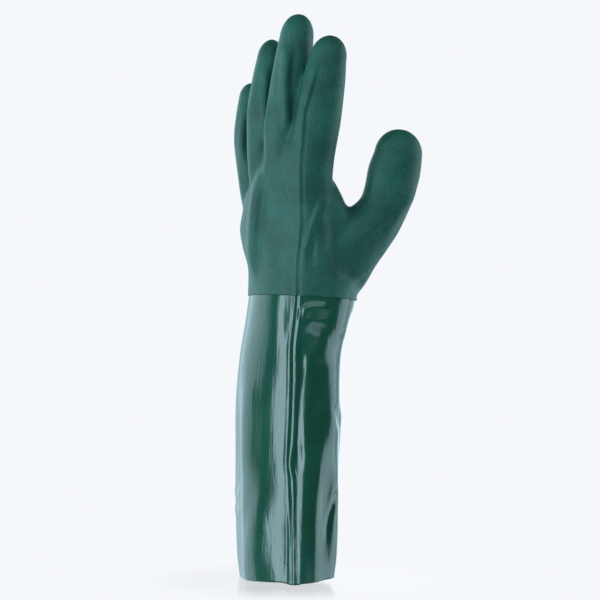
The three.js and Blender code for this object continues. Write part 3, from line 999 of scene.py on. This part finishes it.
    def turn_in(
        self, shell: bmesh.types.BMesh, edge: list[bmesh.types.BMEdge], inset: float, height: float
    ) -> list[bmesh.types.BMEdge]:
        """Extends the open edge inwards and up.

        Args:
            shell: the coat's skin.
            edge: the edges round its opening.
            inset: how far in the new edge lies.
            height: how far up it lies.

        Returns:
            The new edges round the opening.
        """
        made = bmesh.ops.extrude_edge_only(shell, edges=edge)["geom"]
        width, depth = self.wrist.width * HALF * MM, self.wrist.depth * HALF * MM
        centre = Vector((self.wrist.across * MM, self.wrist.forward * MM, 0))
        for vert in (item for item in made if isinstance(item, bmesh.types.BMVert)):
            away = vert.co - centre
            out = Vector((away.x / width**2, away.y / depth**2, 0)).normalized()
            vert.co += Vector((0, 0, height * MM)) - out * inset * MM
        return [e for e in made if isinstance(e, bmesh.types.BMEdge) and e.is_boundary]


@dataclass(frozen=True)
class CuffRow:
    """One section of the cuff."""

    along: float
    wrist: float
    swell: float


@dataclass(frozen=True)
class Drape:
    """A broad fold down the cuff: angles in degrees, its run in shares of the cuff's length."""

    angle: float
    lean: float
    start: float
    end: float
    depth: float
    spread: float


CUFF_ROWS = (
    CuffRow(0.00, 0.00, -0.020),
    CuffRow(0.08, 0.00, 0.000),
    CuffRow(0.27, 0.00, 0.012),
    CuffRow(0.45, 0.02, 0.014),
    CuffRow(0.63, 0.10, 0.018),
    CuffRow(0.80, 0.30, 0.004),
    CuffRow(0.91, 0.70, 0.000),
    CuffRow(1.00, 1.00, 0.000),
)
DRAPES = (
    Drape(-5, -12, 0.05, 0.86, -0.030, 17),
    Drape(20, -14, -0.10, 0.80, 0.030, 16),
    Drape(46, 6, -0.28, 0.50, -0.055, 24),
    Drape(42, 0, 0.58, 0.97, -0.055, 24),
    Drape(78, -10, 0.10, 0.95, 0.026, 18),
    Drape(128, 10, -0.10, 0.80, -0.030, 20),
    Drape(176, -8, 0.00, 0.90, 0.020, 24),
    Drape(236, 8, -0.20, 0.70, -0.026, 22),
    Drape(290, 6, 0.20, 1.00, 0.014, 20),
)
CUFF_FOLDS = (
    Fold(((6.5, 186), (5.5, 160), (4, 110), (2, 60), (0, 20)), 1.8, 18, 40, fade=(0.15, 0.3)),
    Fold(((-26, 150), (-29, 115), (-30, 85), (-29, 60)), 1.2, 7, 13),
    Fold(((-14, 70), (-21, 45), (-26, 20), (-28, -4)), 1.2, 9, 17, fade=(0.5, 0)),
    Fold(((16.5, 170), (17, 145), (16, 131), (15, 117), (14, 99), (15, 72)),
         2.7, 7, 22, fade=(0.2, 0.25)),
    Fold(((33, 189), (22, 189.5), (14, 188), (10.5, 178)), 1.5, 6, 5),
    Fold(((30, 182), (21, 180.5), (12.5, 182.5)), -1.5, 4.5, 11),
    Fold(((16.5, 186), (20.5, 170), (21, 148)), 2.3, 7, 14, fade=(0.6, 0.35)),
    Fold(((30, 132), (25.5, 106), (20, 78), (15.5, 48), (14, 20), (13.5, -4)),
         4.9, 15, 14, fade=(0.4, 0)),
    Fold(((38, 74), (33, 56), (29, 42), (27, 24)), -1.1, 3.5, 3),
    Fold(((33, 126), (36, 112), (37, 102)), -1.6, 4, 5, fade=(0.4, 0.4)),
    Fold(((42, 176), (38.5, 171), (35, 169)), -1.3, 3.5, 4, fade=(0.3, 0.4)),
    Fold(((7, 65), (-8, 59), (-22, 56)), 0.5, 5, 5, Facing.LITTLE_BACK),
    Fold(((4, 50), (-9, 46), (-24, 40)), 0.6, 5, 5, Facing.LITTLE_BACK),
)


@dataclass(frozen=True)
class SeamRow:
    """Where the cuff's seam runs at a share of its length.

    turn holds the degrees that it lies round from its straight course. spacing is the distance
    between its two ribs in millimetres.
    """

    along: float
    turn: float
    spacing: float


SEAM_ROWS = (
    SeamRow(0.00, -2.0, 3.2),
    SeamRow(0.22, 0.2, 3.0),
    SeamRow(0.37, 1.2, 3.6),
    SeamRow(0.42, -0.4, 3.0),
    SeamRow(0.50, 2.0, 4.6),
    SeamRow(0.60, 3.8, 4.5),
    SeamRow(0.75, 4.3, 4.8),
    SeamRow(0.90, 0.8, 4.5),
    SeamRow(1.00, -0.9, 3.8),
)


@dataclass
class GauntletCuff:
    """The glossy first coat from the mouth to the dip line, one hollow tube.

    tongue holds how far in and up each ring of the tongue inside the hand coat lies. rim holds the
    shares of the wall and of the lip at which the mouth's rings lie.
    """

    wrist: Wrist
    name: str = "gauntlet_cuff_dressed"
    width: float = 92.0
    depth: float = 60.0
    wall: float = 1.6
    mouth_tilt: float = 2.2
    mouth_tilt_angle: float = 43.0
    seam_angle: float = -39.0
    seam_drift: float = -10.0
    rib_spacing: float = 5.2
    rib_height: float = 0.50
    rib_foot: float = 2.1
    rib_round: float = 0.12
    tongue: tuple[tuple[float, float], ...] = ((0.5, 0.8), (0.6, 7.0))
    rim: tuple[tuple[float, float], ...] = ((0.85, 0.7), (0.5, 1.0), (0.15, 0.7))
    tail: float = 1.5
    tail_reach: float = 16.0
    tail_height: float = 0.05
    rings: int = 190
    sides: int = 180
    seam_steps: int = 34
    seam_margin: float = 1.15
    lining_step: int = 6
    lip: float = 0.35

    def angles(self) -> Array:
        """Places a ring's points: close together over the ribs and even elsewhere.

        Returns:
            Their degrees round from the seam.
        """
        radius = (self.width + self.depth) * HALF * HALF
        reach = (self.rib_spacing * HALF + self.rib_foot) * self.seam_margin
        edge = math.degrees(reach / radius)
        near = np.linspace(-edge, edge, self.seam_steps)
        rest = np.linspace(edge, 2 * HALF_TURN - edge, self.sides - self.seam_steps + 2)[1:-1]
        return np.concatenate([near, rest])

    def drape(self, angles: Array, along: float) -> Array:
        """How far the drapes push the wall out, round one ring.

        Args:
            angles: degrees round the cuff.
            along: the ring's share of the cuff's length.

        Returns:
            One distance for each angle.
        """
        out = np.zeros(len(angles))
        for row in DRAPES:
            away = np.abs(wrapped(angles - row.angle - row.lean * along))
            run = np.clip((along - row.start) / (row.end - row.start), 0, 1)
            out += row.depth * self.depth * bump_shape(away / row.spread) * np.sin(np.pi * run)
        return out

    def rib(self, distances: Array, spacing: float) -> Array:
        """Height of the seam's two ribs.

        Args:
            distances: distances round the wall from the seam's middle.
            spacing: the distance between the ribs.

        Returns:
            One height for each distance.
        """
        from_crest = np.abs(np.abs(distances) - spacing * HALF) / self.rib_foot
        roof = np.maximum(1 + self.rib_round - np.hypot(from_crest, self.rib_round), 0)
        return self.rib_height * roof

    def ring(self, along: float) -> Array:
        """One ring of the cuff's outside.

        Args:
            along: its share of the cuff's length.

        Returns:
            The ring's points.
        """
        wrist = value_at(CUFF_ROWS, "wrist", along)
        swell = value_at(CUFF_ROWS, "swell", along) * self.width
        step = 2 * self.wrist.step
        wide = (self.width + (self.wrist.width - step - self.width) * wrist) * HALF + swell
        deep = (self.depth + (self.wrist.depth - step - self.depth) * wrist) * HALF + swell
        seam = self.seam_angle + self.seam_drift * along
        seam += value_at(SEAM_ROWS, "turn", along)
        from_seam = self.angles()
        angles = np.radians(seam + from_seam)
        out = self.drape(seam + from_seam, along)
        aside = wrapped(from_seam)
        distances = np.radians(aside) * (wide + deep) * HALF
        out = out + self.rib(distances, value_at(SEAM_ROWS, "spacing", along))
        x = self.wrist.across * wrist + (wide + out) * np.cos(angles)
        y = self.wrist.forward * wrist + (deep + out) * np.sin(angles)
        tilt = self.mouth_tilt * np.cos(angles - math.radians(self.mouth_tilt_angle))
        tail = np.hypot(aside / self.tail_reach, along / self.tail_height)
        tilt = tilt - self.tail * bump_shape(tail)
        z = along * (self.wrist.height + self.wrist.lift(y) * wrist) + (1 - along) * tilt
        return np.stack([x, y, z], axis=1)

    @staticmethod
    def ring_normals(rings: Array) -> Array:
        """Unit normals over a grid of rings, pointing out.

        Args:
            rings: the points, by ring and place in the ring.

        Returns:
            The normals in the same order.
        """
        round_way = np.roll(rings, -1, axis=1) - np.roll(rings, 1, axis=1)
        up_way = np.gradient(rings, axis=0)
        return unit(np.cross(round_way, up_way))

    def build(self) -> bpy.types.Object:
        """Makes the cuff as one closed band: outside, tongue inside the coat, inside, rim.

        Returns:
            The cuff, with places for the finishes of its outside and its inside.
        """
        outside = np.array([self.ring(i / (self.rings - 1)) for i in range(self.rings)])
        normals = self.ring_normals(outside)
        flat = outside.reshape(-1, 3)
        out = relief(flat, normals.reshape(-1, 3), WRIST_FOLDS + CUFF_FOLDS)
        out = out.reshape(outside.shape[:2])
        outside = outside + normals * out[..., None]
        normals = unit(self.ring_normals(outside) * LEVEL)
        tongue = np.array([
            outside[-1] - normals[-1] * inset + UP * rise for inset, rise in self.tongue])
        lining = outside[::-self.lining_step] - normals[::-self.lining_step] * self.wall
        lining = np.concatenate([tongue[::-1] - normals[-1] * self.wall, lining])
        rim = np.array([
            outside[0] - normals[0] * self.wall * share - UP * self.lip * drop
            for share, drop in self.rim])
        bands = np.concatenate([outside, tongue, lining, rim])
        faces = ring_faces(len(bands), bands.shape[1], closed=True)
        made = new_object(self.name, new_mesh(self.name, bands.reshape(-1, 3), faces))
        coated = (self.rings + len(tongue) - 1) * bands.shape[1]
        lined = coated + len(lining) * bands.shape[1]
        for number, face in enumerate(made.data.polygons):
            face.material_index = INSIDE if coated <= number < lined else OUTSIDE
        return made


class Wire:
    """A node's output. Arithmetic on it adds Math nodes to its tree."""

    def __init__(self, bench: Bench, socket: bpy.types.NodeSocket | None) -> None:
        """Keeps the output and the bench that its nodes stand on."""
        self.bench = bench
        self.socket = socket

    def _maths(self, operation: str, *values: Wire | Number) -> Wire:
        """One Math node over wires and numbers."""
        return self.bench.add("ShaderNodeMath", {"operation": operation}, dict(enumerate(values)))

    def __add__(self, other: Wire | Number) -> Wire:
        """The sum."""
        return self._maths("ADD", self, other)

    __radd__ = __add__

    def __sub__(self, other: Wire | Number) -> Wire:
        """The difference."""
        return self._maths("SUBTRACT", self, other)

    def __rsub__(self, other: Wire | Number) -> Wire:
        """The difference, where a number comes first."""
        return self._maths("SUBTRACT", other, self)

    def __mul__(self, other: Wire | Number) -> Wire:
        """The product."""
        return self._maths("MULTIPLY", self, other)

    __rmul__ = __mul__

    def grade(self, low: Number, high: Number, start: Number = 0, end: Number = 1) -> Wire:
        """A smooth rise from start, where the wire holds low, to end, where it holds high."""
        inputs = {"Value": self, "From Min": low, "From Max": high, "To Min": start, "To Max": end}
        return self.bench.add("ShaderNodeMapRange", {"interpolation_type": "SMOOTHSTEP"}, inputs)


class Bench:
    """Adds nodes to one node tree."""

    OPAQUE = 1.0
    FIRST_COLOUR, SECOND_COLOUR, MIXED_COLOUR = 6, 7, 2

    def __init__(self, tree: bpy.types.NodeTree) -> None:
        """Clears the tree."""
        self.tree = tree
        tree.nodes.clear()

    def add(
        self, kind: str, settings: dict[str, Any] | None = None,
        inputs: dict[str | int, Any] | None = None, output: str | int = 0,
    ) -> Wire:
        """Adds one node.

        Args:
            kind: the node's type.
            settings: its own settings, which are set first.
            inputs: values or wires for its sockets, by name or number.
            output: the socket to return.

        Returns:
            The node's output.
        """
        node = self.tree.nodes.new(kind)
        for name, value in (settings or {}).items():
            setattr(node, name, value)
        for name, value in (inputs or {}).items():
            socket = node.inputs[name]
            if isinstance(value, Wire):
                self.tree.links.new(value.socket, socket)
            elif socket.type == "RGBA":
                socket.default_value = (*value, self.OPAQUE)
            else:
                socket.default_value = value
        return Wire(self, node.outputs[output] if node.outputs else None)

    def vector(self, operation: str, *values: Any, output: str | int = 0) -> Wire:
        """One Vector Math node over wires and vectors."""
        settings = {"operation": operation}
        return self.add("ShaderNodeVectorMath", settings, dict(enumerate(values)), output)

    def place(self) -> Wire:
        """The point on the surface, in metres of the glove's own frame."""
        return self.add("ShaderNodeTexCoord", output="Object")

    def stretched(self, point: Wire, scale: tuple[float, float, float]) -> Wire:
        """A point with its three parts scaled."""
        return self.add("ShaderNodeMapping", None, {"Vector": point, "Scale": scale})

    def noise(self, point: Wire, scale: float, detail: float = 2.0, rough: float = 0.5) -> Wire:
        """Cloudy noise from 0 to 1, with a scale in spots a metre."""
        inputs = {"Vector": point, "Scale": scale, "Detail": detail, "Roughness": rough}
        return self.add("ShaderNodeTexNoise", None, inputs, "Fac")

    def mix(self, share: Wire, first: Colour, second: Colour) -> Wire:
        """A colour between two colours."""
        inputs = {"Factor": share, self.FIRST_COLOUR: first, self.SECOND_COLOUR: second}
        return self.add("ShaderNodeMix", {"data_type": "RGBA"}, inputs, self.MIXED_COLOUR)

    def bump(self, height: Wire, distance: float, strength: float, under: Wire | None = None) -> Wire:
        """A normal from a height from 0 to 1.

        Args:
            height: the height.
            distance: how far 1 stands out, in millimetres.
            strength: how strongly it shows.
            under: a coarser normal that it lies on.

        Returns:
            The new normal.
        """
        inputs = {"Height": height, "Distance": distance * MM, "Strength": strength}
        if under is not None:
            inputs["Normal"] = under
        return self.add("ShaderNodeBump", None, inputs, "Normal")

    def plastic(self, inputs: dict[str | int, Any]) -> None:
        """Ends the tree in one plain surface with these inputs."""
        surface = self.add("ShaderNodeBsdfPrincipled", None, inputs)
        self.add("ShaderNodeOutputMaterial", None, {"Surface": surface})


def new_material(name: str) -> tuple[bpy.types.Material, Bench]:
    """Makes a material with an empty tree.

    Args:
        name: its name.

    Returns:
        The material, and the bench that fills its tree.
    """
    material = bpy.data.materials.new(name)
    material.use_nodes = True
    return material, Bench(material.node_tree)


@dataclass(frozen=True)
class SandyCoat:
    """Matte dipped PVC with a fine sandy grain and a few soft pits."""

    deep: Colour = (0.0058, 0.064, 0.042)
    pale: Colour = (0.0170, 0.112, 0.077)
    contrast: tuple[float, float] = (0.38, 0.62)
    ior: float = 1.37
    roughness: float = 0.45
    cloud: float = 45.0
    cloud_roughness: float = 0.12
    grain: float = 720.0
    grain_rough: float = 0.6
    grain_roughness: float = 0.1
    grain_share: float = 0.7
    grain_height: float = 0.55
    grain_strength: float = 0.7
    pit: float = 252.0
    pit_share: float = 0.4
    detail: float = 3.0

    def material(self) -> bpy.types.Material:
        """Builds the finish.

        Returns:
            The material.
        """
        made, bench = new_material("sandy_pvc")
        place = bench.place()
        clouds = bench.noise(place, self.cloud, self.detail)
        grain = bench.noise(place, self.grain, self.detail, self.grain_rough)
        pits = bench.noise(place, self.pit)
        shade = (clouds * HALF + grain * HALF).grade(*self.contrast)
        rough = (clouds - HALF) * self.cloud_roughness + grain * self.grain_roughness
        height = grain * self.grain_share + pits * self.pit_share
        bench.plastic({
            "Base Color": bench.mix(shade, self.deep, self.pale),
            "Roughness": rough + self.roughness,
            "IOR": self.ior,
            "Normal": bench.bump(height, self.grain_height, self.grain_strength),
        })
        return made


@dataclass(frozen=True)
class GlossCoat:
    """Smooth dipped PVC with a high gloss, over a knit that shows through faintly.

    stretch and swell_stretch hold how far the knit's ribs and the coat's swells are drawn out upwards.
    """

    deep: Colour = (0.0045, 0.058, 0.033)
    pale: Colour = (0.0065, 0.072, 0.043)
    contrast: tuple[float, float] = (0.35, 0.65)
    ior: float = 1.5
    roughness: float = 0.16
    cloud: float = 30.0
    cloud_detail: float = 3.0
    cloud_roughness: float = 0.06
    knit: float = 420.0
    stretch: tuple[float, float, float] = (1.0, 1.0, 0.16)
    knit_height: float = 0.45
    swell: float = 60.0
    swell_stretch: tuple[float, float, float] = (1.0, 1.0, 0.35)
    swell_height: float = 0.55
    strength: float = 0.30

    def material(self) -> bpy.types.Material:
        """Builds the finish.

        Returns:
            The material.
        """
        made, bench = new_material("gloss_pvc")
        place = bench.place()
        clouds = bench.noise(place, self.cloud, self.cloud_detail)
        ribs = bench.noise(bench.stretched(place, self.stretch), self.knit)
        swell = bench.noise(bench.stretched(place, self.swell_stretch), self.swell)
        rolling = bench.bump(swell, self.swell_height, self.strength)
        bench.plastic({
            "Base Color": bench.mix(clouds.grade(*self.contrast), self.deep, self.pale),
            "Roughness": (clouds - HALF) * self.cloud_roughness + self.roughness,
            "IOR": self.ior,
            "Normal": bench.bump(ribs, self.knit_height, self.strength, rolling),
        })
        return made


@dataclass(frozen=True)
class KnitLining:
    """Plain cotton knit, the glove's inside face."""

    yarn: Colour = (0.62, 0.60, 0.53)
    gap: Colour = (0.36, 0.35, 0.30)
    roughness: float = 0.95
    loops: float = 450.0
    distortion: float = 1.5
    loop_share: float = 0.6
    fuzz: float = 1400.0
    fuzz_detail: float = 3.0
    fuzz_share: float = 0.4
    height: float = 0.35
    strength: float = 0.6

    def material(self) -> bpy.types.Material:
        """Builds the finish.

        Returns:
            The material.
        """
        made, bench = new_material("cotton_knit")
        place = bench.place()
        inputs = {"Vector": place, "Scale": self.loops, "Distortion": self.distortion}
        loops = bench.add("ShaderNodeTexWave", {"bands_direction": "Z"}, inputs, "Fac")
        fuzz = bench.noise(place, self.fuzz, self.fuzz_detail)
        height = loops * self.loop_share + fuzz * self.fuzz_share
        bench.plastic({
            "Base Color": bench.mix(height, self.gap, self.yarn),
            "Roughness": self.roughness,
            "Normal": bench.bump(height, self.height, self.strength),
        })
        return made


@dataclass(frozen=True)
class LightBank:
    """A tall soft light round the glove. Angles are degrees, to the right of the camera's side."""

    angle: float
    half_width: float
    soft: float
    power: float
    low: float
    high: float


BANKS = (
    LightBank(-64, 10.5, 4, 8.0, -0.5, 0.4),
    LightBank(-126, 25, 6, 2.15, -0.5, 0.5),
    LightBank(95, 20, 6, 3.4, -0.5, 0.5),
    LightBank(45, 45, 16, 0.78, -0.9, -0.35),
    LightBank(145, 30, 9, 1.3, -0.5, 0.5),
    LightBank(188, 24, 9, 0.95, -0.45, 0.45),
    LightBank(-10, 40, 8, 2.2, 0.36, 0.70),
)


@dataclass(frozen=True)
class Studio:
    """Camera, pale floor and soft light.

    level holds the radii of the floor's flat rings, and ceiling_rise the steepness of the rays that
    the ceiling's light sets in over.
    """

    side: Facing = Facing.THUMB_BACK
    distance: float = 1500.0
    height: float = 195.0
    aim_right: float = 9.2
    frame_width: float = 424.8
    sensor: float = 36.0
    sight: float = 50000.0
    floor: float = -3.0
    level: tuple[float, ...] = (1.0, 400.0, 1200.0)
    room: float = 3600.0
    cove: float = 900.0
    cove_steps: int = 14
    floor_sides: int = 96
    light: Colour = (0.66, 0.87, 1.0)
    paper: Colour = (0.915, 0.932, 0.967)
    ambient: float = 0.16
    ceiling: float = 0.06
    ceiling_rise: tuple[float, float] = (0.55, 0.80)
    edge: float = 0.08
    sheen: float = 0.34
    sheen_near: float = 45.0
    sheen_far: float = 115.0
    sheen_colour: Colour = (1.0, 0.78, 0.70)
    sheen_roughness: float = 0.18
    banks: tuple[LightBank, ...] = BANKS

    def set_camera(self) -> None:
        """Puts the camera level with the glove's middle, on its thumb and back side."""
        right, towards = self.side.axes()
        aim = right * self.aim_right + UP * self.height
        lens = bpy.data.cameras.new("camera")
        lens.sensor_width = self.sensor
        lens.lens = self.sensor * self.distance / self.frame_width
        lens.clip_end = self.sight * MM
        camera = bpy.data.objects.new("camera", lens)
        camera.location = (aim + towards * self.distance) * MM
        camera.rotation_euler = (-Vector(towards)).to_track_quat("-Z", "Y").to_euler()
        bpy.context.scene.collection.objects.link(camera)
        bpy.context.scene.camera = camera

    def set_light(self) -> None:
        """Fills the surroundings with dim light and the banks."""
        world = bpy.data.worlds.new("studio")
        bpy.context.scene.world = world
        world.use_nodes = True
        bench = Bench(world.node_tree)
        ray = bench.add("ShaderNodeTexCoord", output="Generated")
        level = bench.vector("NORMALIZE", bench.vector("MULTIPLY", ray, tuple(LEVEL)))
        rise = bench.add("ShaderNodeSeparateXYZ", None, {0: ray}, "Z")
        light = rise.grade(*self.ceiling_rise, 0.0, self.ceiling) + self.ambient
        right, towards = self.side.axes()
        for bank in self.banks:
            turn = math.radians(bank.angle)
            aim = towards * math.cos(turn) + right * math.sin(turn)
            nearness = bench.vector("DOT_PRODUCT", level, tuple(aim), output="Value")
            outer = math.cos(math.radians(bank.half_width + bank.soft))
            inner = math.cos(math.radians(max(bank.half_width - bank.soft, 0)))
            shape = nearness.grade(outer, inner)
            shape = shape * rise.grade(bank.low - self.edge, bank.low + self.edge)
            shape = shape * rise.grade(bank.high + self.edge, bank.high - self.edge)
            light = light + shape * bank.power
        inputs = {"Color": self.light, "Strength": light}
        background = bench.add("ShaderNodeBackground", None, inputs)
        bench.add("ShaderNodeOutputWorld", None, {"Surface": background})

    def set_floor(self) -> None:
        """A pale floor that curves up all round, well away from the glove."""
        bends = np.linspace(0, np.pi * HALF, self.cove_steps)
        start = self.room - self.cove
        radii = [*self.level, *(start + self.cove * np.sin(bends)), self.room]
        rise = self.cove - self.cove * np.cos(bends)
        heights = np.array([*(0.0 for _ in self.level), *rise, self.room]) + self.floor
        angles = around(self.floor_sides)
        rings = np.array([
            np.stack([r * np.cos(angles), r * np.sin(angles), np.full(len(angles), z)], axis=1)
            for r, z in zip(radii, heights)])
        faces = ring_faces(len(rings), self.floor_sides, closed=False)
        faces.append(list(range(self.floor_sides)))
        faces = [face[::-1] for face in faces]
        floor = new_object("pale_floor", new_mesh("pale_floor", rings.reshape(-1, 3), faces))
        material, bench = new_material("pale_floor")
        away = bench.vector("LENGTH", bench.place(), output="Value")
        share = away.grade(self.sheen_near * MM, self.sheen_far * MM, self.sheen, 0.0)
        glow = bench.add("ShaderNodeEmission", None, {"Color": self.paper})
        inputs = {"Color": self.sheen_colour, "Roughness": self.sheen_roughness}
        gloss = bench.add("ShaderNodeBsdfAnisotropic", None, inputs)
        shader = bench.add("ShaderNodeMixShader", None, {0: share, 1: glow, 2: gloss})
        bench.add("ShaderNodeOutputMaterial", None, {"Surface": shader})
        floor.data.materials.append(material)
        for ray in ("visible_diffuse", "visible_glossy", "visible_shadow"):
            setattr(floor, ray, False)


def dress(
    piece: bpy.types.Object, node: str, finishes: Sequence[bpy.types.Material]
) -> None:
    """Gives a piece its finishes and its place in the frame, and reports it.

    Args:
        piece: the piece.
        node: the frame's node that it stands for.
        finishes: its materials, the outside first.
    """
    for finish in finishes:
        piece.data.materials.append(finish)
    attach(piece, BODY)
    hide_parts(node)
    log.info("%s: %d faces, stands for %s", piece.name, len(piece.data.polygons), node)


def main() -> None:
    """Builds the glove and its studio in order."""
    logging.basicConfig(level=logging.INFO, format="%(name)s %(message)s")
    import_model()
    scene = bpy.context.scene
    scene.view_settings.view_transform = "Standard"
    studio = Studio()
    studio.set_camera()
    studio.set_light()
    studio.set_floor()
    wrist = Wrist()
    knit = KnitLining().material()
    cuff = GauntletCuff(wrist).build()
    dress(cuff, "gauntlet_cuff", [GlossCoat().material(), knit])
    coat = HandCoat(wrist).build()
    dress(coat, "hand_coat", [SandyCoat().material(), knit])


if __name__ == "__main__":
    main()
